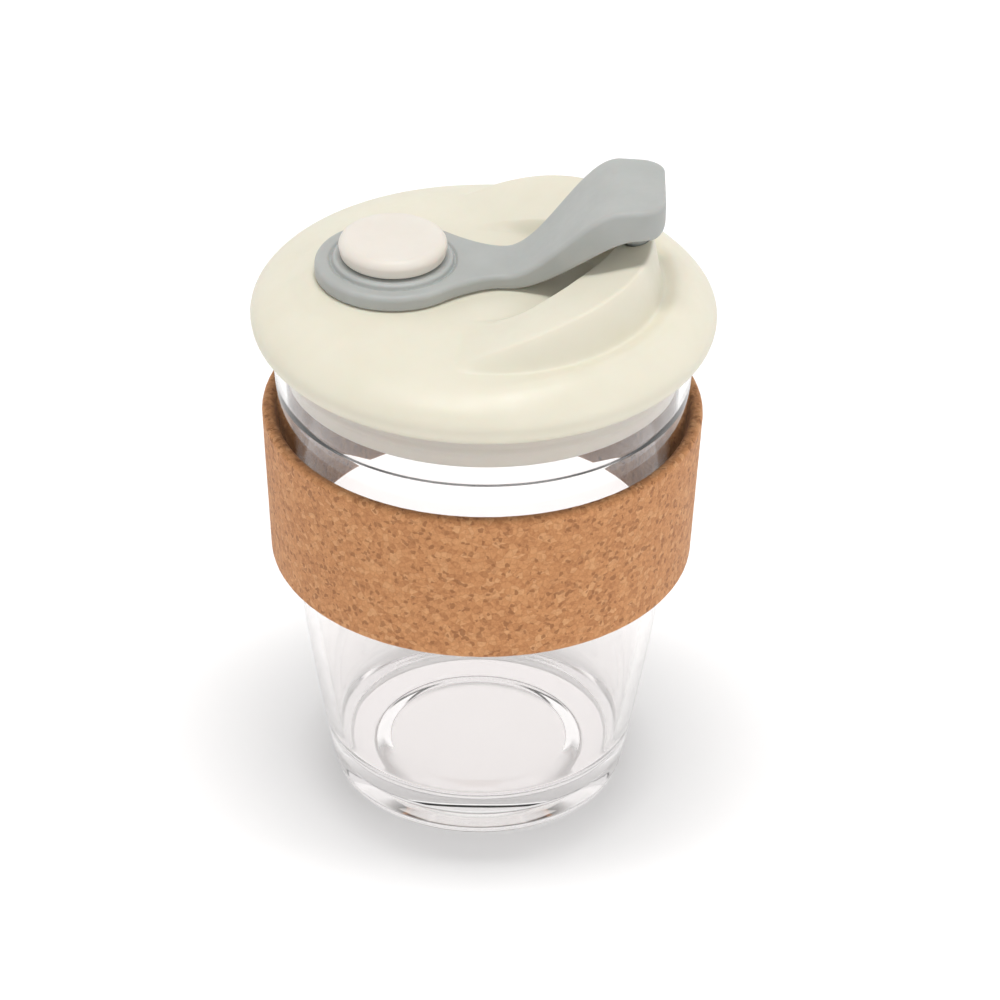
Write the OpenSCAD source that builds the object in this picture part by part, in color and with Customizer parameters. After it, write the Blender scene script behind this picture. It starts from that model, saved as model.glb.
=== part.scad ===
// Glass travel tumbler with a cork grip band, a silicone lid with a raised
// drinking crest, and a silicone stopper strap held by a mushroom stud.
// Millimetres. The origin is the centre of the foot on the table, +Z is up,
// and the drinking crest and the strap point towards +X.

/* [Glass tumbler] */
// Outer radius of the glass at the table
foot_r = 29.5; // [29:0.1:30]
// Height of the glass rim above the table
glass_h = 107; // [105:0.5:107]
// Gain in radius per mm of height, at the foot
wall_flare = 0.202; // [0.194:0.001:0.203]
// Loss of that gain per mm of height, which turns the wall upright
flare_loss = 0.0016; // [0.00158:0.00001:0.00165]
// Thickness of the glass wall
wall_t = 2.6; // [2.6:0.1:3]
// Height of the small ledge inside the wall, below the lid's skirt
ledge_z = 91.2; // [90:0.1:92]
// Loss of wall thickness above that ledge
ledge_w = 0.5; // [0.3:0.05:0.6]
// Thickness of the glass at the centre of the floor
floor_t = 8.8; // [6:0.1:10]
// Outer radius of the hollow under the foot
punt_r = 21.3; // [18:0.1:23]
// Depth of the hollow under the foot
punt_h = 2.2; // [1:0.1:3]

/* [Cork band] */
// Height of the band's lower edge above the table
band_z = 52.8; // [50:0.1:55]
// Height of the band
band_h = 33.1; // [28:0.1:33.5]
// Outer radius of the band at its lower edge
band_bottom_r = 42.5; // [42.5:0.1:43.5]
// Outer radius of the band at its upper edge
band_top_r = 44; // [44:0.1:45]
// Thickness of the cork at the upper edge
band_t = 2.7; // [2.2:0.1:2.7]
// Thickness of the cork at the lower edge
band_foot_t = 3.8; // [3:0.1:3.8]

/* [Lid] */
// Largest radius of the lid, at its bulge
lid_r = 46; // [46:0.1:46.5]
// Height of the bulge's widest line
bulge_z = 107.2; // [107:0.1:107.4]
// Rise of the lid's crown above that line
crown_h = 8; // [7.7:0.1:8.3]
// How level the crown stays before it turns down, as a power of the radius
crown_power = 4.2; // [3.8:0.1:5]
// Thickness of the lid's deck
deck_t = 3.2; // [2.6:0.1:3.5]
// Height of the lid's lower lip
lip_z = 103.5; // [103:0.1:103.9]
// Height of the lower end of the skirt inside the glass
skirt_z = 95.3; // [94.5:0.1:96]
// Outer radius of the skirt, without its sealing ribs
skirt_r = 38.8; // [38.4:0.1:38.8]
// Thickness of the skirt
skirt_t = 2; // [1.5:0.1:2.5]

/* [Drinking crest] */
// Height of the crest above the crown
crest_h = 9.9; // [8:0.1:10]
// Radius of the crest line about the lid's axis
crest_r = 32.7; // [32:0.1:33]
// Angle from the spout at which the crest has faded away
crest_sweep = 100; // [96:1:106]
// Distance of the drink hole from the lid's axis, on the crest's sloping top
hole_x = 29.8; // [29.6:0.1:30]
// Radius of the drink hole
hole_r = 2.5; // [2.3:0.05:2.6]

/* [Stud] */
// Distance of the stud from the lid's axis, away from the spout
stud_x = 17.9; // [17.5:0.1:18]
// Radius of the stud's head
stud_r = 10.7; // [10:0.1:11]

/* [Stopper strap] */
// Outer radius of the strap's ring
ring_r = 15.4; // [14.5:0.1:15.5]
// Thickness of the ring and the neck
ring_t = 3.3; // [3:0.1:3.4]
// Distance of the neck's bending line from the lid's axis
hinge_x = 3; // [2.5:0.1:3.5]
// Width of the neck at the bending line
neck_w = 12.6; // [12:0.1:13]
// Greatest width of the finger tab
tab_w = 23; // [20:0.1:23]
// Distance of the tab's far end from the lid's axis
tab_x = 35; // [34:0.1:35.5]
// Height of the tab's top above the neck's top
tab_rise = 17.2; // [16:0.1:18]

/* [Hidden] */
$fn = 96;

deck_z = bulge_z + crown_h;    // top of the lid's crown
seat_z = deck_z + 0.1;         // underside of the strap's ring
stem_r = 6.2;                  // stud's stem inside the ring
peg_r = 4;                     // hole for the stud's peg through the deck
hinge_z = seat_z + ring_t / 2; // bending line, half way through the neck
hollow_w = 3;                  // how far the crest's inner wall leans inwards
crest_w = 2.7;                 // how far the crest's outer wall leans out
thin = 2.3;                    // how far the underside stays inside the walls
hole_z = lid_top(hole_x, 0);   // crest's top at the drink hole
hole_tilt = atan2(hole_z - hinge_z, hole_x - hinge_x); // the plug's swing is square to this
reach = norm([hole_x - hinge_x, hole_z - hinge_z]);

// ---------- shared geometry ----------

function clamp01(u) = max(0, min(1, u));
function ease(u) = let (v = clamp01(u)) v * v * (3 - 2 * v);
function mix(a, b, u) = a + (b - a) * u;
function arc(c, r, a0, a1, n) =
    [for (i = [0:n]) let (a = mix(a0, a1, i / n)) c + r * [cos(a), sin(a)]];

// Closed skin over rings of equal length, which follow one another along +X.
module loft(rings) {
    n = len(rings[0]);
    m = len(rings);
    polyhedron(
        points = [for (ring = rings) each ring],
        faces = concat(
            [for (j = [0:m - 2], i = [0:n - 1])
                let (k = (i + 1) % n, a = j * n, b = a + n)
                each [[a + i, b + k, a + k], [a + i, b + i, b + k]]],
            [[for (i = [0:n - 1]) i]],
            [[for (i = [n - 1:-1:0]) (m - 1) * n + i]]));
}

// ---------- glass ----------

function glass_r(z) = foot_r + wall_flare * z - flare_loss / 2 * z * z;

module glass_tumbler() {
    steps = 12;
    edge = 1.8;                     // rounding of the foot's outer edge
    heel = 4;                       // rounding inside, at the floor
    rim_t = wall_t - ledge_w;       // wall thickness above the ledge
    lip = rim_t / 2;                // half-round rim
    rim_z = glass_h - lip;
    ledge_top = ledge_z + 0.4;
    in_r = glass_r(floor_t + heel) - wall_t;
    color([0.93, 0.95, 0.96, 0.35])
        rotate_extrude()
            polygon(concat(
                [[0, punt_h], [punt_r - 2.8, punt_h], [punt_r, 0]],
                arc([foot_r - edge, edge], edge, -90, -8, 5),
                [for (i = [1:steps])
                    let (z = mix(edge + 1, rim_z, i / steps)) [glass_r(z), z]],
                arc([glass_r(rim_z) - lip, rim_z], lip, 20, 160, 6),
                [for (i = [3:-1:0])
                    let (z = mix(ledge_top, rim_z, i / 3)) [glass_r(z) - rim_t, z]],
                [for (i = [steps:-1:1])
                    let (z = mix(floor_t + heel, ledge_z, i / steps))
                    [glass_r(z) - wall_t, z]],
                arc([in_r - heel, floor_t + heel], heel, 0, -90, 5),
                [[0, floor_t]]));
}

// ---------- cork ----------

module cork_band() {
    soft = 1.1;                     // rounding of the band's edges
    top_z = band_z + band_h;
    color([0.78, 0.57, 0.37])
        rotate_extrude()
            polygon(concat(
                arc([band_bottom_r - soft, band_z + soft], soft, -90, 0, 4),
                arc([band_top_r - soft, top_z - soft], soft, 0, 90, 4),
                arc([band_top_r - band_t + soft, top_z - soft], soft, 90, 180, 4),
                arc([band_bottom_r - band_foot_t + soft, band_z + soft], soft, 180, 270, 4)));
}

// ---------- lid ----------

// The crown is a low dome that turns down into the bulge.
function dome(r) = bulge_z + crown_h * sqrt(1 - pow(min(r, lid_r) / lid_r, crown_power));

// A level seat for the strap's ring, faded into the dome around it.
function seat(r, a) =
    let (d = norm([r * cos(a) + stud_x, r * sin(a)]),
         w = 1 - ease((d - ring_r) / 6))
    mix(dome(r), deck_z, w);

// Share of the crest's full height at angle a from the spout.
function swell(a) =
    let (s = clamp01(1 - pow(abs(a) / crest_sweep, 3))) 1.1 * s * s / (s + 0.1);

// Upper edge of the hollow inside the crest: round below the tab, then wider.
function hollow_r(a) = 20 + 7 * pow(1 - min(abs(a), 60) / 60, 2);

// Height added to the crown; inset thins the walls for the underside.
function crest(r, a, inset) =
    let (ri = hollow_r(a) + inset,
         rc = crest_r - inset,
         inner = 0.87 * max(0, 1 - abs(a) / 115),
         slope = mix(inner, 1, clamp01((r - ri) / (rc - ri))),
         up = ease((r - ri + hollow_w) / hollow_w),
         down = 1 - ease((r - rc) / crest_w))
    crest_h * swell(a) * slope * up * down;

// The bulge is a little fuller beside the crest, which leaves a soft groove.
function puff(r, a) =
    1.3 * ease(swell(a)) * ease((r - 35.2) / 3.6) * (1 - ease((r - 40) / 5.6));

function lid_top(r, a) = seat(r, a) + crest(r, a, 0) + puff(r, a);
function lid_under(r, a) = dome(r) - deck_t + crest(r, a, thin) * 0.9;

// One radial section of the lid, from the top of the axis round to below it.
turn_r = 4.2;                       // rounding of the bulge's lower edge
lip_r = 42.7;                       // inner radius of the lip
plug_r = 39.3;                      // inner radius of the groove for the glass
rib_r = 0.5;                        // how far each sealing rib stands out
rib_levels = [103.6, 98.6];
function lid_section(a) =
    let (ri = hollow_r(a),
         in_r = skirt_r - skirt_t,
         ui = ri + thin,
         uc = crest_r - thin,
         roof = glass_h + 0.2,
         top = [4, 9, 14, ri - 3, ri - 2, ri - 1, ri, mix(ri, crest_r, 0.35),
                mix(ri, crest_r, 0.7), crest_r - 0.8, crest_r, crest_r + 0.9,
                crest_r + 1.6, crest_r + 2.2, crest_r + 2.8, 37.2, 39.2, 40.8,
                42.3, 43.6, 44.7, 45.5],
         under = [in_r - 1.2, 33.8, uc + 2.2, uc + 1.1, uc + 0.2, mix(ui, uc, 0.6),
                  ui, ui - 1.3, ui - 3, 14, 7])
    concat(
        [for (r = top) [r, lid_top(r, a)]],
        arc([lid_r - turn_r, bulge_z], turn_r, 0, -60, 3),
        [[lip_r + 0.9, lip_z + 0.1], [lip_r + 0.4, lip_z], [lip_r, lip_z + 0.4],
         [lip_r, roof - 0.5], [lip_r - 0.5, roof], [plug_r + 0.4, roof],
         [plug_r, roof - 1]],
        [for (z = rib_levels) each
            [[skirt_r, z + 1.1], [skirt_r + rib_r, z + 0.3], [skirt_r, z - 0.5]]],
        [[skirt_r - 0.1, skirt_z + 0.6], [skirt_r - 0.7, skirt_z],
         [in_r + 0.6, skirt_z], [in_r, skirt_z + 0.6],
         [in_r, dome(in_r) - deck_t - 1.2]],
        [for (r = under) [r, lid_under(r, a)]]);

module lid_body() {
    turns = 88;
    sections = [for (j = [0:turns - 1]) lid_section(mix(-180, 180, j / turns))];
    n = len(sections[0]);
    apex = turns * n;
    polyhedron(
        points = concat(
            [for (j = [0:turns - 1], p = sections[j])
                let (a = mix(-180, 180, j / turns)) [p.x * cos(a), p.x * sin(a), p.y]],
            [[0, 0, lid_top(0, 0)], [0, 0, lid_under(0, 0)]]),
        faces = [for (j = [0:turns - 1]) let (k = (j + 1) % turns) each concat(
            [[apex, k * n, j * n],
             [apex + 1, j * n + n - 1, k * n + n - 1]],
            [for (i = [0:n - 2]) each
                [[j * n + i, k * n + i, k * n + i + 1],
                 [j * n + i, k * n + i + 1, j * n + i + 1]]])]);
}

// Places its children at the drink hole, with +Z along the plug's way out.
module at_drink_hole() {
    translate([hinge_x, 0, hinge_z])
        rotate([0, -hole_tilt, 0])
            translate([reach, 0, 0])
                children();
}

module lid_shell() {
    color([0.93, 0.90, 0.84])
        difference() {
            lid_body();
            at_drink_hole()
                rotate(17)
                    translate([0, 0, -15])
                        cylinder(r = hole_r, h = 20);
            translate([-stud_x, 0, deck_z - 3 * deck_t])
                rotate(17)
                    cylinder(r = peg_r, h = 5 * deck_t);
        }
}

// ---------- stud ----------

module stud_button() {
    soft = 1.7;                     // rounding of the head's edge
    head_z = seat_z + ring_t + 0.9; // underside of the head
    head_t = 3.9;
    peg = peg_r - 0.05;             // the peg fits its hole closely
    barb_r = 5.2;                   // barb that holds the peg below the deck
    barb_z = deck_z - deck_t - 0.5; // level of the barb's shoulder
    color([0.94, 0.90, 0.87])
        translate([-stud_x, 0, 0])
            rotate_extrude()
                polygon(concat(
                    [[0, barb_z - 3], [3, barb_z - 3], [barb_r, barb_z - 0.5],
                     [barb_r, barb_z], [peg, barb_z],
                     [peg, deck_z], [stem_r, deck_z], [stem_r, head_z],
                     [stud_r - 1.2, head_z], [stud_r, head_z + 1]],
                    arc([stud_r - soft, head_z + head_t - soft], soft, 10, 90, 5),
                    [[0, head_z + head_t]]));
}

// ---------- strap ----------

function tab_top(x) = seat_z + ring_t + tab_rise * ease((x - 4) / 22.5);
end_soft = 2.4;                     // rounding of the tab's lower far edge
function tab_under(x) =
    let (past = clamp01((x - tab_x + end_soft) / end_soft))
    seat_z + 13.8 * ease((x - 4.5) / 25) + end_soft * (1 - sqrt(1 - past * past));
function tab_half(x) =
    let (corner = 4.5,
         full = neck_w / 2 + (tab_w - neck_w) / 2 * ease((x - 4) / 20)
                - 0.8 * ease((x - 24) / (tab_x - 24)),
         past = max(0, x - tab_x + corner))
    full - corner + sqrt(max(0, corner * corner - past * past));

// Upright section of the strap at x: a rectangle with rounded corners.
function strap_ring(x, half, z0, z1) =
    let (soft = min(1, half / 2, (z1 - z0) / 2.2),
         yc = half - soft,
         zc = (z1 - z0) / 2 - soft,
         mid = (z0 + z1) / 2)
    [for (q = [0:3], i = [0:3])
        let (a = 90 * q + 30 * i)
        [x, (q == 1 || q == 2 ? -yc : yc) + soft * cos(a),
         mid + (q > 1 ? -zc : zc) + soft * sin(a)]];

// The neck widens smoothly into the ring.
function neck_half(x) = neck_w / 2 + 6.5 * pow(clamp01((hinge_x - x) / 12.2), 1.6);
module neck(x0, x1) {
    steps = 8;
    loft([for (i = [0:steps])
        let (x = mix(x0, x1, i / steps))
        strap_ring(x, neck_half(x), seat_z, seat_z + ring_t)]);
}

module stopper_ring() {
    step_r = 12.2;                  // foot of the raised inner bead
    top = seat_z + ring_t;
    color([0.68, 0.71, 0.71]) {
        difference() {
            union() {
                translate([-stud_x, 0, 0])
                    rotate_extrude()
                        polygon(concat(
                            [[stem_r + 0.3, seat_z]],
                            arc([ring_r - 0.7, seat_z + 0.7], 0.7, -90, 0, 3),
                            arc([ring_r - 1, top - 1], 1, 0, 90, 4),
                            [[step_r + 0.3, top], [step_r, top - 0.5],
                             [step_r - 0.2, top]],
                            arc([step_r - 0.8, top + 0.1], 0.6, 0, 90, 3),
                            [[stem_r + 0.3, top + 0.7]]));
                difference() {
                    neck(ring_r - stud_x - 5.5, hinge_x - 2.6);
                    translate([-stud_x, 0, seat_z - 1])
                        cylinder(r = step_r + 0.4, h = ring_t + 3);
                }
            }
            translate([-stud_x, 0, seat_z - 1])
                cylinder(r = stem_r + 0.3, h = ring_t + 3);
        }
    }
}

module stopper_arm() {
    steps = 26;
    tip_r = 1.9;                    // lower end of the tapered plug
    plug_h = 4.6;                   // depth of the plug in its hole
    rest = 0.6;                     // gap below the plug's collar
    color([0.68, 0.71, 0.71]) {
        translate([hinge_x, 0, hinge_z])
            rotate([90, 0, 0])
                cylinder(r = ring_t / 2, h = neck_w, center = true);
        loft([for (i = [0:steps])
            let (x = mix(hinge_x, tab_x, ease(0.5 + i / steps / 2) * 2 - 1))
            strap_ring(x, tab_half(x), tab_under(x), tab_top(x))]);
        at_drink_hole() {
            translate([0, 0, -plug_h])
                cylinder(r1 = tip_r, r2 = hole_r - 0.25, h = plug_h + rest);
            translate([0, 0, rest])
                cylinder(r = hole_r + 0.8, h = 0.8);
            translate([0, 0, rest])
                cylinder(r = hole_r + 0.1, h = tab_under(hole_x) - hole_z + 1.2);
        }
    }
}

glass_tumbler();
cork_band();
lid_shell();
stud_button();
stopper_ring();
stopper_arm();
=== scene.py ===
import math

import bmesh
import bpy
import numpy as np
from mathutils import Matrix, Vector


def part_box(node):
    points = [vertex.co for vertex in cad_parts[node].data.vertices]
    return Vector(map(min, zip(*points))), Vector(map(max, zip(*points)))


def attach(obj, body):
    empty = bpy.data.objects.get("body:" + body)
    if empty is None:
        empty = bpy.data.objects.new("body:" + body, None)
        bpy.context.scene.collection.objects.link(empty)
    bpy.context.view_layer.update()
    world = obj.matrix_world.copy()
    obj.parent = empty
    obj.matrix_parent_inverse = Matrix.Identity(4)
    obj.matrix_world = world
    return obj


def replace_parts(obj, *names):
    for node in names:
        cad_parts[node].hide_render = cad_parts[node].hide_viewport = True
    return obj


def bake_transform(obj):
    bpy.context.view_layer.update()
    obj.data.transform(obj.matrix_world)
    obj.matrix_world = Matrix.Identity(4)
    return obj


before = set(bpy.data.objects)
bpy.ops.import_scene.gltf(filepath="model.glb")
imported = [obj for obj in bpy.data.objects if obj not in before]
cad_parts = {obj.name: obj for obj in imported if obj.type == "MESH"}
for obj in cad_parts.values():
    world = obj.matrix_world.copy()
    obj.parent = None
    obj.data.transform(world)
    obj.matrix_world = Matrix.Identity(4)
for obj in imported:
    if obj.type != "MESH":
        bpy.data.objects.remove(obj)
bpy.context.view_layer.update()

# ---------------------------------------------------------------- dimensions
# Millimetres, in the CAD model's frame: Z up, the drinking crest towards +X.

MM = 0.001


def cad_box(node):
    """Lowest and highest corner of a CAD node, in millimetres."""
    low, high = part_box(node)
    return low / MM, high / MM


glass_high = cad_box("glass_tumbler")[1]
band_low, band_high = cad_box("cork_band")
lid_low, lid_high = cad_box("lid_shell")
stud_low, stud_high = cad_box("stud_button")
ring_low, ring_high = cad_box("stopper_ring")
arm_low, arm_high = cad_box("stopper_arm")

FOOT_R = 29.5
WALL_FLARE = 0.202
FLARE_LOSS = 0.0016
WALL_T = 2.6
LEDGE_Z = 91.2
LEDGE_W = 0.5
LEDGE_H = 0.9
FLOOR_T = 8.8
PUNT_R = 21.3
PUNT_H = 2.2
GLASS_H = glass_high.z

BAND_BOTTOM_R = 42.5
BAND_TOP_R = band_high.x
BAND_T = 2.7
BAND_FOOT_T = 3.8

LID_R = lid_high.x
BULGE_Z = 107.2
CROWN_H = 8.0
CROWN_POWER = 4.2
DECK_T = 3.2
LIP_Z = 103.5
LIP_R = 42.7
PLUG_R = 39.3
TURN_R = 4.2
SKIRT_Z = lid_low.z
SKIRT_R = 38.8
SKIRT_T = 2.0
RIB_R = 0.5
RIB_LEVELS = (103.6, 98.6)
DECK_Z = BULGE_Z + CROWN_H

CREST_H = 9.9
CREST_R = 32.7
CREST_SWEEP = 100.0
CREST_W = 2.7
HOLLOW_W = 3.0
THIN = 2.3
UNDER_SHARE = 0.9
INNER_SHARE = 0.87
INNER_SWEEP = 115.0
HOLLOW_SIDE_R = 20.0
HOLLOW_GAIN = 7.0
HOLLOW_SWEEP = 60.0
SEAT_FADE = 6.0
FADE_SOFT = 0.1
PUFF_H = 1.3
HOLE_X = 29.8
HOLE_R = 2.5

STUD_R = (stud_high.y - stud_low.y) / 2
STUD_X = -(stud_high.x - STUD_R)
STEM_R = 6.2
PEG_R = 3.95

SEAT_Z = ring_low.z
RING_R = ring_high.y
RING_T = 3.3
NECK_W = 12.6
HINGE_X = 3.0
TAB_W = arm_high.y - arm_low.y
TAB_X = arm_high.x
TAB_RISE = 17.2
HINGE_Z = SEAT_Z + RING_T / 2
STEP_R = 12.2
FLARE_W = 6.5
FLARE_LEN = 12.2
FLARE_POWER = 1.6
RISE_FROM = 4.0
RISE_LEN = 22.5
UNDER_FROM = 4.5
UNDER_LEN = 25.0
UNDER_RISE = 13.8
END_SOFT = 2.4
CORNER = 4.5
WIDEST_X = 24.0
TAPER = 0.8
VOXEL = 0.24


# ---------------------------------------------------------------- mesh helpers

def arc(centre, radius, start, end, steps):
    """Points of an arc in a section plane, angles in degrees."""
    turn = np.radians(np.linspace(start, end, steps + 1))
    return [(centre[0] + radius * math.cos(a), centre[1] + radius * math.sin(a)) for a in turn]


def ease(u):
    v = np.clip(u, 0.0, 1.0)
    return v * v * (3 - 2 * v)


def mesh_object(name, points, faces):
    """A smooth-shaded mesh from points in millimetres."""
    mesh = bpy.data.meshes.new(name)
    mesh.from_pydata((np.asarray(points, float) * MM).tolist(), [], faces)
    mesh.validate()
    mesh.shade_smooth()
    piece = bpy.data.objects.new(name, mesh)
    bpy.context.scene.collection.objects.link(piece)
    return piece


def grid_faces(rows, columns):
    """Quads between neighbouring rows and columns, closed round the columns."""
    faces = []
    for i in range(rows - 1):
        for j in range(columns):
            k = (j + 1) % columns
            low, high = i * columns, (i + 1) * columns
            faces.append((low + j, low + k, high + k, high + j))
    return faces


def outward(piece):
    """Turns every face outwards."""
    shape = bmesh.new()
    shape.from_mesh(piece.data)
    bmesh.ops.recalc_face_normals(shape, faces=shape.faces)
    shape.to_mesh(piece.data)
    shape.free()
    return piece


def lathe(name, profile, columns, centre_x=0.0):
    """Turns a profile of (radius, height) points about the vertical through centre_x.
    A profile that starts and ends on the axis closes there; any other closes on itself."""
    profile = [tuple(p) for p in profile]
    capped = profile[0][0] < 1e-6
    body = profile[1:-1] if capped else profile + profile[:1]
    turn = np.radians(np.arange(columns) * 360 / columns)
    points = [(centre_x + r * math.cos(a), r * math.sin(a), z) for r, z in body for a in turn]
    faces = grid_faces(len(body), columns)
    if capped:
        for end, row in ((profile[0], 0), (profile[-1], len(body) - 1)):
            pole = len(points)
            points.append((centre_x, 0, end[1]))
            first = row * columns
            faces += [(pole, first + j, first + (j + 1) % columns) for j in range(columns)]
    piece = mesh_object(name, points, faces)
    if not capped:
        shape = bmesh.new()
        shape.from_mesh(piece.data)
        bmesh.ops.remove_doubles(shape, verts=shape.verts, dist=1e-7)
        shape.to_mesh(piece.data)
        shape.free()
    return outward(piece)


def refine(profile, step):
    """Adds points along the profile's straight stretches, so that none is longer than step."""
    fine = []
    for p, q in zip(profile, profile[1:]):
        parts = max(1, math.ceil(math.dist(p, q) / step))
        fine += [(p[0] + (q[0] - p[0]) * i / parts, p[1] + (q[1] - p[1]) * i / parts)
                 for i in range(parts)]
    return fine + [profile[-1]]


# ---------------------------------------------------------------- materials

def linear(red, green, blue):
    """A colour from its 0-255 screen values."""
    def channel(value):
        value /= 255
        return value / 12.92 if value <= 0.04045 else ((value + 0.055) / 1.055) ** 2.4
    return (channel(red), channel(green), channel(blue), 1.0)


class Material:
    """A node material that is built up by short calls."""

    def __init__(self, name):
        self.material = bpy.data.materials.new(name)
        self.material.use_nodes = True
        self.tree = self.material.node_tree
        self.shader = self.tree.nodes["Principled BSDF"]
        self.place = self.node("ShaderNodeTexCoord").outputs["Object"]

    def node(self, kind, **settings):
        made = self.tree.nodes.new(kind)
        for key, value in settings.items():
            setattr(made, key, value)
        return made

    def link(self, source, target):
        self.tree.links.new(source, target)

    def noise(self, size, detail=3.0, roughness=0.5):
        """Noise whose features are about size millimetres across."""
        made = self.node("ShaderNodeTexNoise")
        made.inputs["Scale"].default_value = 1 / (size * MM)
        made.inputs["Detail"].default_value = detail
        made.inputs["Roughness"].default_value = roughness
        self.link(self.place, made.inputs["Vector"])
        return made.outputs["Fac"]

    def cells(self, size, place, feature="F1"):
        """Voronoi cells about size millimetres across."""
        made = self.node("ShaderNodeTexVoronoi", feature=feature)
        made.inputs["Scale"].default_value = 1 / (size * MM)
        self.link(place, made.inputs["Vector"])
        return made

    def ramp(self, value, stops):
        """Colour ramp with (position, colour) stops."""
        made = self.node("ShaderNodeValToRGB")
        while len(made.color_ramp.elements) < len(stops):
            made.color_ramp.elements.new(1.0)
        for element, (position, colour) in zip(made.color_ramp.elements, stops):
            element.position = position
            element.color = colour
        self.link(value, made.inputs["Fac"])
        return made.outputs["Color"]

    def mix(self, share, first, second):
        """Mixes two colours by share."""
        made = self.node("ShaderNodeMix", data_type="RGBA", blend_type="MIX")
        for socket, value in ((0, share), (6, first), (7, second)):
            if isinstance(value, (float, tuple)):
                made.inputs[socket].default_value = value
            else:
                self.link(value, made.inputs[socket])
        return made.outputs[2]

    def spread(self, value, low, high, to_low, to_high):
        """Maps low..high to to_low..to_high, held at the ends."""
        made = self.node("ShaderNodeMapRange")
        for key, number in (("From Min", low), ("From Max", high),
                            ("To Min", to_low), ("To Max", to_high)):
            made.inputs[key].default_value = number
        self.link(value, made.inputs["Value"])
        return made.outputs["Result"]

    def bump(self, height, depth, strength=1.0, under=None):
        """Bump of depth millimetres; under is an earlier bump."""
        made = self.node("ShaderNodeBump")
        made.inputs["Strength"].default_value = strength
        made.inputs["Distance"].default_value = depth * MM
        self.link(height, made.inputs["Height"])
        if under is not None:
            self.link(under, made.inputs["Normal"])
        return made.outputs["Normal"]

    def set(self, **values):
        """Plain shader values, with underscores for the spaces in a socket's name."""
        for key, value in values.items():
            self.shader.inputs[key.replace("_", " ")].default_value = value

    def drive(self, socket, source):
        self.link(source, self.shader.inputs[socket])


def glass_material():
    glass = Material("clear_glass")
    glass.set(Base_Color=(0.985, 0.97, 0.965, 1), Roughness=0.0, IOR=1.48, Transmission_Weight=1.0)
    ripple = glass.noise(30, detail=0.0)
    glass.drive("Normal", glass.bump(ripple, 0.02, 0.4))
    return glass.material


def silicone_material(name, colour, shade, roughness, skirt_painted_light=None):
    """Moulded silicone: a soft satin skin, faintly mottled, with a very fine grain.
    The lid's thin skirt, below its lip, is painted paler: painted light standing in for the light that
    reaches it, in the lip's shade, through the glass."""
    skin = Material(name)
    cloud = skin.noise(9, detail=4.0)
    tone = skin.ramp(cloud, [(0.3, shade), (0.7, colour)])
    # Below the lip the colour fades to the skirt's paler one: painted light in the shade under the
    # lip.
    if skirt_painted_light is not None:
        level = skin.node("ShaderNodeSeparateXYZ")
        skin.link(skin.place, level.inputs[0])
        share = skin.spread(level.outputs["Z"], (LIP_Z - 3) * MM, LIP_Z * MM, 1, 0)
        tone = skin.mix(share, tone, skirt_painted_light)
    skin.drive("Base Color", tone)
    dust = skin.noise(1.6, detail=5.0, roughness=0.6)
    skin.drive("Roughness", skin.spread(dust, 0.3, 0.7, roughness - 0.05, roughness + 0.07))
    soft = skin.bump(skin.noise(5, detail=2.0), 0.05, 0.5)
    skin.drive("Normal", skin.bump(skin.noise(0.22, detail=2.0), 0.006, 0.5, soft))
    skin.set(Subsurface_Weight=0.12, Subsurface_Scale=0.002, Specular_IOR_Level=0.4)
    return skin.material


def cork_material():
    """Agglomerated cork: pressed grains of several tans, dark bark specks and open pores."""
    grain, speck = 1.25, 0.75
    cork = Material("cork")
    warp = cork.node("ShaderNodeTexNoise")
    warp.inputs["Scale"].default_value = 1 / (1.5 * MM)
    cork.link(cork.place, warp.inputs["Vector"])
    shift = cork.node("ShaderNodeVectorMath", operation="MULTIPLY_ADD")
    cork.link(warp.outputs["Color"], shift.inputs[0])
    shift.inputs[1].default_value = (0.9 * MM,) * 3
    cork.link(cork.place, shift.inputs[2])
    place = shift.outputs["Vector"]
    tone = cork.node("ShaderNodeSeparateColor")
    grains = cork.cells(grain, place)
    cork.link(grains.outputs["Color"], tone.inputs["Color"])
    tans = cork.ramp(tone.outputs["Red"], [
        (0.0, linear(158, 104, 64)), (0.18, linear(182, 124, 78)), (0.45, linear(196, 138, 90)),
        (0.75, linear(206, 150, 101)), (1.0, linear(220, 170, 122))])
    fine = cork.noise(0.7, detail=4.0, roughness=0.65)
    crumb = cork.ramp(fine, [(0.3, linear(162, 107, 68)), (0.7, linear(210, 154, 106))])
    mottled = cork.mix(0.55, tans, crumb)
    speck_cells = cork.cells(speck, place)
    speck_tone = cork.node("ShaderNodeSeparateColor")
    cork.link(speck_cells.outputs["Color"], speck_tone.inputs["Color"])
    specks = cork.ramp(speck_tone.outputs["Green"], [(0.86, (0, 0, 0, 1)), (0.93, (1, 1, 1, 1))])
    dark = cork.mix(cork.spread(specks, 0, 1, 0, 0.7), mottled, linear(140, 92, 58))
    edge = cork.cells(grain, place, "DISTANCE_TO_EDGE").outputs["Distance"]
    seam = cork.ramp(edge, [(0.0, (1, 1, 1, 1)), (0.09, (0, 0, 0, 1))])
    seam_share = cork.spread(seam, 0, 1, 0, 0.35)
    cork.drive("Base Color", cork.mix(seam_share, dark, linear(150, 98, 60)))
    pits = cork.bump(specks, -0.14, 0.7)
    grain_bump = cork.bump(edge, 0.25, 0.35, pits)
    cork.drive("Normal", cork.bump(fine, 0.12, 0.5, grain_bump))
    cork.drive("Roughness", cork.spread(fine, 0.3, 0.7, 0.72, 0.92))
    cork.set(Specular_IOR_Level=0.25, Sheen_Weight=0.08)
    return cork.material


# ---------------------------------------------------------------- glass

def glass_r(z):
    """Outer radius of the glass at height z."""
    return FOOT_R + WALL_FLARE * z - FLARE_LOSS / 2 * z * z


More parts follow.
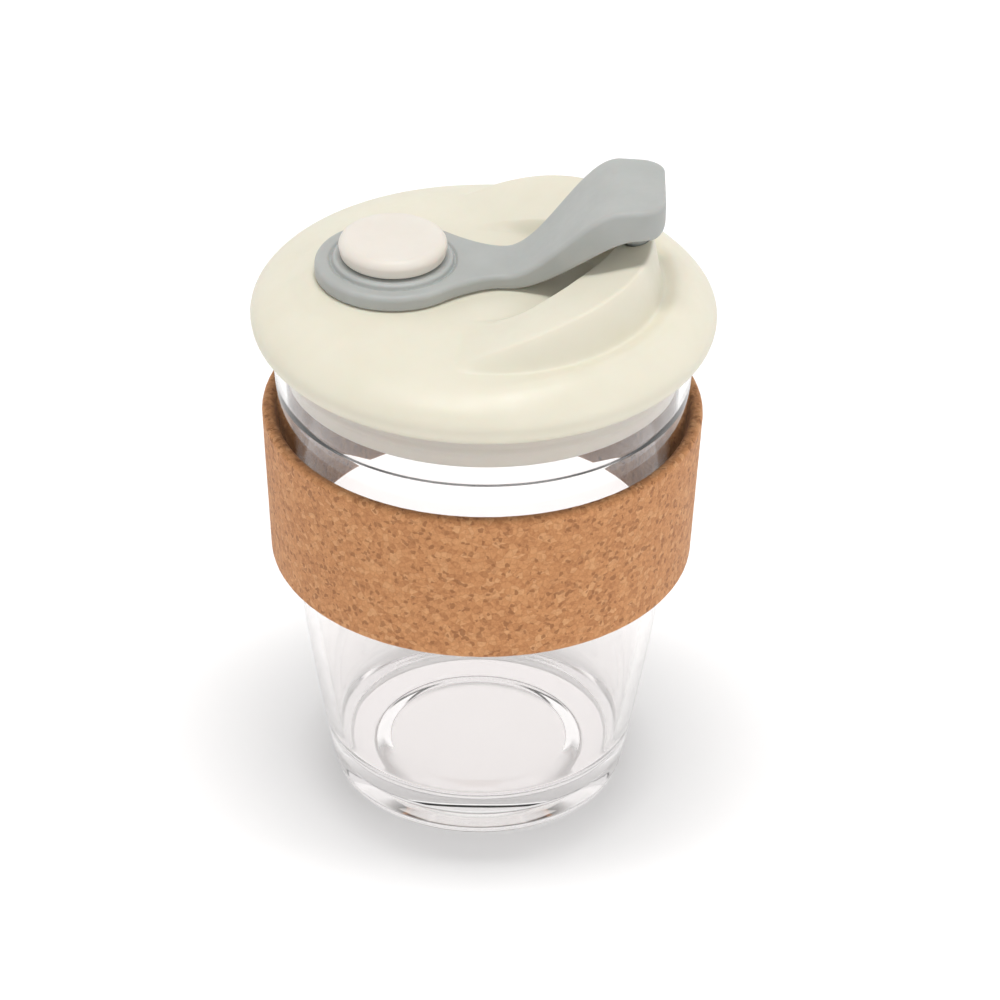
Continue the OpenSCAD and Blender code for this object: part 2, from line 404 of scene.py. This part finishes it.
def make_glass():
    edge, heel = 1.8, 4.0
    rim_t = WALL_T - LEDGE_W
    lip = rim_t / 2
    rim_z = GLASS_H - lip
    inner_r = glass_r(FLOOR_T + heel) - WALL_T
    outer = [(glass_r(z), z) for z in np.linspace(edge + 1, rim_z, 60)]
    above = [(glass_r(z) - rim_t, z) for z in np.linspace(rim_z, LEDGE_Z + 1.1, 12)]
    ledge_r = glass_r(LEDGE_Z) - WALL_T
    ledge = [(ledge_r + LEDGE_W * (1 - ease(u)), LEDGE_Z + LEDGE_H * (1 - u))
             for u in np.linspace(0, 1, 13)]
    below = [(glass_r(z) - WALL_T, z)
             for z in np.linspace(LEDGE_Z - 0.3, FLOOR_T + heel + 0.5, 55)]
    punt = (arc((PUNT_R - 3.3, PUNT_H - 0.6), 0.6, 90, 40, 5)
            + arc((PUNT_R + 0.5, 1.1), 1.1, 230, 270, 5))
    profile = ([(0, PUNT_H + 0.15), (6, PUNT_H + 0.13), (12, PUNT_H + 0.06)] + punt
               + arc((FOOT_R - edge, edge), edge, -90, -8, 12)
               + outer + arc((glass_r(rim_z) - lip, rim_z), lip, 4, 176, 20) + above + ledge + below
               + arc((inner_r - heel, FLOOR_T + heel), heel, -2, -90, 16)
               + [(16, FLOOR_T - 0.05), (8, FLOOR_T - 0.02), (0, FLOOR_T)])
    piece = lathe("tumbler_glass", refine(profile, 1.6), 256)
    piece.data.materials.append(glass_material())
    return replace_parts(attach(piece, "tumbler"), "glass_tumbler")


# ---------------------------------------------------------------- cork band

def make_band():
    soft = 1.1
    low, high = band_low.z, band_high.z
    corners = (
        (BAND_BOTTOM_R - soft, low + soft, -90), (BAND_TOP_R - soft, high - soft, 0),
        (BAND_TOP_R - BAND_T + soft, high - soft, 90),
        (BAND_BOTTOM_R - BAND_FOOT_T + soft, low + soft, 180))
    profile = [p for r, z, start in corners for p in arc((r, z), soft, start, start + 90, 10)]
    piece = lathe("band_cork", refine(profile, 0.7), 420)
    roughen(piece, depth=0.09, size=1.7)
    piece.data.materials.append(cork_material())
    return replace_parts(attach(piece, "band"), "cork_band")


def roughen(piece, depth, size):
    """Presses the surface in unevenly, by up to depth, in spots of about size (millimetres)."""
    count = len(piece.data.vertices)
    place = np.empty(count * 3)
    facing = np.empty(count * 3)
    piece.data.vertices.foreach_get("co", place)
    piece.data.vertex_normals.foreach_get("vector", facing)
    place = place.reshape(-1, 3)
    facing = facing.reshape(-1, 3)
    random = np.random.default_rng(7)
    sunk = np.zeros(count)
    for _ in range(24):
        way = random.normal(size=3)
        way *= 2 * math.pi / (size * MM * random.uniform(0.7, 2.2)) / np.linalg.norm(way)
        sunk += np.sin(place @ way + random.uniform(0, 2 * math.pi))
    sunk = (sunk - sunk.max()) / (sunk.max() - sunk.min())
    place += facing * (sunk * depth * MM)[:, None]
    piece.data.vertices.foreach_set("co", place.ravel())
    piece.data.update()


# ---------------------------------------------------------------- lid

def dome(r):
    """The crown's height at radius r, without the crest."""
    return BULGE_Z + CROWN_H * np.sqrt(1 - (np.minimum(r, LID_R) / LID_R) ** CROWN_POWER)


def seat(r, a):
    """The crown with a level seat for the strap's ring faded into it."""
    away = np.hypot(r * np.cos(np.radians(a)) + STUD_X, r * np.sin(np.radians(a)))
    return dome(r) + (DECK_Z - dome(r)) * (1 - ease((away - RING_R) / SEAT_FADE))


def swell(a):
    """Share of the crest's full height at angle a from the spout."""
    share = np.clip(1 - (np.abs(a) / CREST_SWEEP) ** 3, 0, 1)
    return (1 + FADE_SOFT) * share * share / (share + FADE_SOFT)


def hollow_r(a):
    """Upper edge of the hollow inside the crest, drawn out below the tab."""
    past = np.minimum(np.abs(a), HOLLOW_SWEEP) / HOLLOW_SWEEP
    return HOLLOW_SIDE_R + HOLLOW_GAIN * (1 - past) ** 2


def crest(r, a, inset):
    """Height added to the crown; inset thins the crest's walls for the underside."""
    ri = hollow_r(a) + inset
    rc = CREST_R - inset
    inner = INNER_SHARE * np.maximum(0, 1 - np.abs(a) / INNER_SWEEP)
    slope = inner + (1 - inner) * np.clip((r - ri) / (rc - ri), 0, 1)
    up = ease((r - ri + HOLLOW_W) / HOLLOW_W)
    down = 1 - ease((r - rc) / CREST_W)
    return CREST_H * swell(a) * slope * up * down


def puff(r, a):
    """The bulge is a little fuller beside the crest, which leaves a soft groove."""
    return PUFF_H * ease(swell(a)) * ease((r - 35.2) / 3.6) * (1 - ease((r - 40) / 5.6))


def lid_top(r, a):
    return seat(r, a) + crest(r, a, 0) + puff(r, a)


def lid_under(r, a):
    return dome(r) - DECK_T + crest(r, a, THIN) * UNDER_SHARE


HOLE_Z = float(lid_top(HOLE_X, 0.0))
HOLE_TILT = math.atan2(HOLE_Z - HINGE_Z, HOLE_X - HINGE_X)
REACH = math.dist((HOLE_X, HOLE_Z), (HINGE_X, HINGE_Z))


def make_lid():
    columns = 480
    angle = -180 + 360 * np.arange(columns) / columns
    ri = hollow_r(angle)
    inner_r = SKIRT_R - SKIRT_T
    ceiling = float(dome(inner_r)) - DECK_T

    def between(start, end, share):
        return start + (end - start) * share

    rows = []

    def add(radius, height):
        rows.append((radius + 0 * angle, height + 0 * angle))

    for share in np.linspace(0.06, 1, 16):
        radius = (ri - HOLLOW_W) * share
        add(radius, lid_top(radius, angle))
    for share in np.linspace(0.08, 1, 12):
        radius = ri - HOLLOW_W * (1 - share)
        add(radius, lid_top(radius, angle))
    for share in np.linspace(0.06, 1, 16):
        radius = between(ri, CREST_R, share)
        add(radius, lid_top(radius, angle))
    for radius in np.linspace(CREST_R + 0.2, CREST_R + CREST_W, 16):
        add(radius, lid_top(radius, angle))
    bulge_start = math.acos(((CREST_R + CREST_W) / LID_R) ** (CROWN_POWER / 2))
    for climb in np.linspace(bulge_start, 0, 40)[1:]:
        radius = LID_R * math.cos(climb) ** (2 / CROWN_POWER)
        add(radius, lid_top(radius, angle))
    roof = GLASS_H + 0.2
    rim = (arc((LID_R - TURN_R, BULGE_Z), TURN_R, -4, -57, 12)
           + [(LIP_R + 0.9, LIP_Z + 0.04), (LIP_R + 0.4, LIP_Z), (LIP_R + 0.1, LIP_Z + 0.12),
              (LIP_R, LIP_Z + 0.4)])
    groove = [(LIP_R, roof - 0.5), (LIP_R - 0.15, roof - 0.15), (LIP_R - 0.5, roof),
              (PLUG_R + 0.5, roof), (PLUG_R + 0.15, roof - 0.3), (PLUG_R, roof - 0.8)]
    ribs = []
    for z in RIB_LEVELS:
        ribs += [(SKIRT_R, z + 1.3), (SKIRT_R + RIB_R / 4, z + 0.9), (SKIRT_R + RIB_R, z + 0.3),
                 (SKIRT_R + RIB_R * 0.85, z), (SKIRT_R, z - 0.5)]
    foot = [(SKIRT_R - 0.1, SKIRT_Z + 0.6), (SKIRT_R - 0.25, SKIRT_Z + 0.2), (SKIRT_R - 0.7, SKIRT_Z),
            (inner_r + 0.6, SKIRT_Z), (inner_r + 0.2, SKIRT_Z + 0.2), (inner_r, SKIRT_Z + 0.6),
            (inner_r, ceiling - 1.4), (inner_r - 0.3, ceiling - 0.5)]
    for radius, height in refine(rim + groove + ribs + foot, 1.0):
        add(radius, height)
    edge_r = inner_r - 1.0
    for share in np.linspace(0, 1, 40):
        radius = between(edge_r, ri - 1.0, share)
        add(radius, lid_under(radius, angle))
    for share in np.linspace(0.1, 0.94, 12):
        radius = (ri - 1.0) * (1 - share)
        add(radius, lid_under(radius, angle))

    turn = np.radians(angle)
    points = [p for radius, height in rows
              for p in zip(radius * np.cos(turn), radius * np.sin(turn), height)]
    faces = grid_faces(len(rows), columns)
    last = (len(rows) - 1) * columns
    for row, height in ((0, float(lid_top(0.0, 0.0))), (last, float(lid_under(0.0, 0.0)))):
        pole = len(points)
        points.append((0, 0, height))
        faces += [(pole, row + j, row + (j + 1) % columns) for j in range(columns)]
    piece = outward(mesh_object("lid_silicone", points, faces))
    bore(piece)
    # The last colour is the skirt's paler one, painted light for the shade under the lip.
    piece.data.materials.append(
        silicone_material("lid_silicone", linear(214, 209, 192), linear(211, 206, 188), 0.42,
                          linear(247, 240, 227)))
    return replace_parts(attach(piece, "lid"), "lid_shell")


def to_drink_hole(piece):
    """Moves a mesh from the origin to the drink hole, with +Z along the plug's way out."""
    piece.data.transform(
        Matrix.Translation((HINGE_X * MM, 0, HINGE_Z * MM)) @ Matrix.Rotation(-HOLE_TILT, 4, "Y")
        @ Matrix.Translation((REACH * MM, 0, 0)))
    return piece


def bore(piece):
    """Cuts the drink hole, with a softened upper edge."""
    flare = HOLE_R + 0.6
    cutter = to_drink_hole(lathe("cutter", [
        (0, -15), (HOLE_R, -15), (HOLE_R, -0.5), (HOLE_R + 0.08, -0.25),
        (HOLE_R + 0.25, -0.06), (flare, 0.02), (flare + 3, 6.02), (0, 6.02)], 96))
    subtract(piece, cutter)


def subtract(piece, cutter):
    """Cuts the cutter's shape out of the piece, and removes the cutter."""
    cut = piece.modifiers.new("cut", "BOOLEAN")
    cut.operation = "DIFFERENCE"
    cut.solver = "EXACT"
    cut.object = cutter
    settle(piece)
    bpy.data.objects.remove(cutter)


def settle(piece):
    """Applies every modifier to the piece's mesh."""
    graph = bpy.context.evaluated_depsgraph_get()
    done = bpy.data.meshes.new_from_object(piece.evaluated_get(graph), depsgraph=graph)
    piece.modifiers.clear()
    piece.data = done
    piece.data.name = piece.name


# ---------------------------------------------------------------- stud

def make_stud():
    soft = 1.7
    head_z = SEAT_Z + RING_T + 0.9
    top_z = stud_high.z
    barb_z = DECK_Z - DECK_T - 0.5
    profile = (
        [(0, stud_low.z), (2.4, stud_low.z)] + arc((2.6, stud_low.z + 0.5), 0.5, -80, -30, 4)
        + [(5.1, barb_z - 0.7), (5.2, barb_z - 0.4), (5.15, barb_z - 0.05),
           (PEG_R, barb_z), (PEG_R, DECK_Z),
           (STEM_R, DECK_Z), (STEM_R, head_z - 0.3), (STEM_R + 0.3, head_z)]
        + arc((STUD_R - 1.3, head_z + 1.1), 1.1, -90, -30, 8)
        + arc((STUD_R - soft, top_z - soft), soft, 0, 90, 24)
        + [(STUD_R * 0.6, top_z - 0.01), (STUD_R * 0.3, top_z - 0.02), (0, top_z - 0.03)])
    piece = lathe("stud_button_silicone", refine(profile, 0.8), 192, -STUD_X)
    piece.data.materials.append(
        silicone_material("stud_silicone", linear(214, 208, 199), linear(211, 204, 194), 0.46))
    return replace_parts(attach(piece, "lid"), "stud_button")


# ---------------------------------------------------------------- strap

def tab_top(x):
    """Height of the arm's upper face at x."""
    return SEAT_Z + RING_T + TAB_RISE * ease((x - RISE_FROM) / RISE_LEN)


def tab_under(x):
    """Height of the arm's lower face at x, rounded up at the far end."""
    past = np.clip((x - TAB_X + END_SOFT) / END_SOFT, 0, 1)
    rise = UNDER_RISE * ease((x - UNDER_FROM) / UNDER_LEN)
    return SEAT_Z + rise + END_SOFT * (1 - np.sqrt(1 - past * past))


def strap_half(x):
    """Half the strap's width at x, from its ring to the tab's rounded end."""
    neck = NECK_W / 2 + FLARE_W * np.clip((HINGE_X - x) / FLARE_LEN, 0, 1) ** FLARE_POWER
    widen = (TAB_W - NECK_W) / 2 * ease((x - RISE_FROM) / (WIDEST_X - RISE_FROM))
    narrow = TAPER * ease((x - WIDEST_X) / (TAB_X - WIDEST_X))
    past = max(0.0, x - TAB_X + CORNER)
    rounded = math.sqrt(max(0.0, CORNER * CORNER - past * past))
    return float(neck + (widen - narrow)) - CORNER + rounded


def section(x, half, low, high, soft):
    """A rounded upright section of the strap at x."""
    soft = min(soft, half / 2, (high - low) / 2.2)
    ring = []
    for quarter in range(4):
        side = -1 if quarter in (1, 2) else 1
        level = -1 if quarter > 1 else 1
        for step in range(7):
            a = math.radians(90 * quarter + 15 * step)
            ring.append((x, side * (half - soft) + soft * math.cos(a),
                         (low + high) / 2 + level * ((high - low) / 2 - soft) + soft * math.sin(a)))
    return ring


def make_strap():
    top = SEAT_Z + RING_T
    ring_profile = (
        [(STEM_R + 0.3, SEAT_Z + 0.3), (STEM_R + 0.6, SEAT_Z)]
        + arc((RING_R - 0.7, SEAT_Z + 0.7), 0.7, -90, 0, 6)
        + arc((RING_R - 1, top - 1), 1, 0, 90, 8)
        + [(STEP_R + 0.55, top), (STEP_R + 0.15, top - 0.55), (STEP_R - 0.25, top - 0.5)]
        + arc((STEP_R - 0.9, top + 0.05), 0.65, 0, 90, 6) + [(STEM_R + 0.3, top + 0.7)])
    parts = [lathe("ring", ring_profile, 200, -STUD_X)]
    start = RING_R - STUD_X - 5.5
    steps = 130
    along = [start + (TAB_X - start) * math.sin(math.pi / 2 * i / steps) for i in range(steps + 1)]
    rings = [section(x, strap_half(x), float(tab_under(x)), float(tab_top(x)), 1.0)
             for x in along]
    count = len(rings[0])
    faces = grid_faces(len(rings), count)
    faces += [tuple(range(count)), tuple((len(rings) - 1) * count + j for j in range(count))]
    arm = outward(mesh_object("arm", [p for ring in rings for p in ring], faces))
    well_r = STEP_R + 0.45
    subtract(arm, lathe("well", [(0, SEAT_Z - 2), (well_r, SEAT_Z - 2), (well_r, top + 2),
                                 (0, top + 2)], 128, -STUD_X))
    parts.append(arm)
    tip_r, plug_h, rest = 1.9, 4.6, 0.6
    stem_top = float(tab_under(HOLE_X)) - HOLE_Z + 1.2 + rest
    plug = ([(0, -plug_h)] + arc((tip_r - 0.5, 0.5 - plug_h), 0.5, -80, 0, 5)
            + [(HOLE_R - 0.25, rest)] + arc((HOLE_R + 0.4, rest + 0.4), 0.4, -90, 90, 8)
            + [(HOLE_R + 0.1, rest + 1.1), (HOLE_R + 0.1, stem_top), (0, stem_top)])
    parts.append(to_drink_hole(lathe("plug", plug, 96)))
    piece = join(parts, "strap_silicone")
    skin = piece.modifiers.new("skin", "REMESH")
    skin.mode = "VOXEL"
    skin.voxel_size = VOXEL * MM
    skin.use_smooth_shade = True
    relax = piece.modifiers.new("relax", "SMOOTH")
    relax.factor = 0.5
    relax.iterations = 5
    settle(piece)
    piece.data.materials.clear()
    piece.data.materials.append(
        silicone_material("strap_silicone", linear(167, 169, 166), linear(160, 162, 159), 0.5))
    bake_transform(piece)
    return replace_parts(piece, "stopper_ring", "stopper_arm")


def join(parts, name):
    """One object from several meshes."""
    shape = bmesh.new()
    for part in parts:
        shape.from_mesh(part.data)
        bpy.data.objects.remove(part)
    mesh = bpy.data.meshes.new(name)
    shape.to_mesh(mesh)
    shape.free()
    piece = bpy.data.objects.new(name, mesh)
    bpy.context.scene.collection.objects.link(piece)
    return piece


# ---------------------------------------------------------------- studio

def make_floor():
    """A pale floor that fills every view from above. It glows faintly all over, and more
    under the foot, where the thick glass would otherwise look too dark."""
    bpy.ops.mesh.primitive_plane_add(size=8)
    floor = bpy.context.active_object
    floor.name = "floor"
    paint = Material("floor_paint")
    paint.set(Base_Color=(0.85, 0.85, 0.85, 1), Roughness=0.9, Specular_IOR_Level=0.1,
              Emission_Color=(1, 0.98, 0.98, 1))
    away = paint.node("ShaderNodeVectorMath", operation="LENGTH")
    paint.link(paint.place, away.inputs[0])
    share = paint.spread(away.outputs["Value"], 0, FOOT_R * MM, 0, 1)
    # Strength of the glow by distance from the cup's axis, as a share of the foot's radius.
    glow = [(0.66, 0.62), (0.71, 0.32), (0.96, 0.32), (1.0, 0.18)]
    stops = [(place, (level, level, level, 1)) for place, level in glow]
    paint.drive("Emission Strength", paint.ramp(share, stops))
    floor.data.materials.append(paint.material)


def softbox(name, place, aim, width, height, power):
    """A rectangular area light that points at aim."""
    lamp = bpy.data.lights.new(name, "AREA")
    lamp.shape = "RECTANGLE"
    lamp.size, lamp.size_y = width, height
    lamp.energy = power
    rig = bpy.data.objects.new(name, lamp)
    rig.location = place
    rig.rotation_euler = (Vector(aim) - Vector(place)).to_track_quat("-Z", "Y").to_euler()
    bpy.context.scene.collection.objects.link(rig)


def make_light():
    """Bright even surroundings that are dimmer overhead, and two soft boxes."""
    world = bpy.data.worlds.new("studio")
    world.use_nodes = True
    bpy.context.scene.world = world
    tree = world.node_tree
    back = tree.nodes["Background"]
    place = tree.nodes.new("ShaderNodeTexCoord")
    height = tree.nodes.new("ShaderNodeSeparateXYZ")
    ramp = tree.nodes.new("ShaderNodeValToRGB")
    tree.links.new(place.outputs["Generated"], height.inputs[0])
    tree.links.new(height.outputs["Z"], ramp.inputs["Fac"])
    tree.links.new(ramp.outputs["Color"], back.inputs["Color"])
    # How bright the surroundings are, by how far up they are.
    levels = ((0.6, 1.06), (0.82, 0.15))
    for element, (upward, level) in zip(ramp.color_ramp.elements, levels):
        element.position = upward
        element.color = (level, level, level, 1)
    back.inputs["Strength"].default_value = 1.0
    centre = (0, 0, 0.07)
    softbox("key", (0.0, -0.04, 1.2), centre, 0.6, 0.22, 8.4)
    softbox("fill", (0.9, -0.8, 0.6), centre, 0.8, 0.6, 1.8)


def make_camera():
    """Looks along +Y from 33 degrees above, a metre away, with the slight tilt of a hand-held shot."""
    elevation, distance, tilt = math.radians(33), 1.0, math.radians(0.86)
    aim = Vector((0.00377, 0, 0.0625))
    lens = bpy.data.cameras.new("camera")
    lens.sensor_width = 36
    lens.lens = 178.2
    lens.clip_start, lens.clip_end = 0.01, 100
    camera = bpy.data.objects.new("camera", lens)
    back = Vector((0, -math.cos(elevation), math.sin(elevation)))
    look = (-back).to_track_quat("-Z", "Y").to_matrix().to_4x4()
    place = Matrix.Translation(aim + back * distance)
    camera.matrix_world = place @ look @ Matrix.Rotation(tilt, 4, "Z")
    bpy.context.scene.collection.objects.link(camera)
    bpy.context.scene.camera = camera
    bpy.context.scene.view_settings.view_transform = "Standard"


make_camera()
make_light()
make_floor()
make_glass()
make_band()
make_lid()
make_stud()
make_strap()
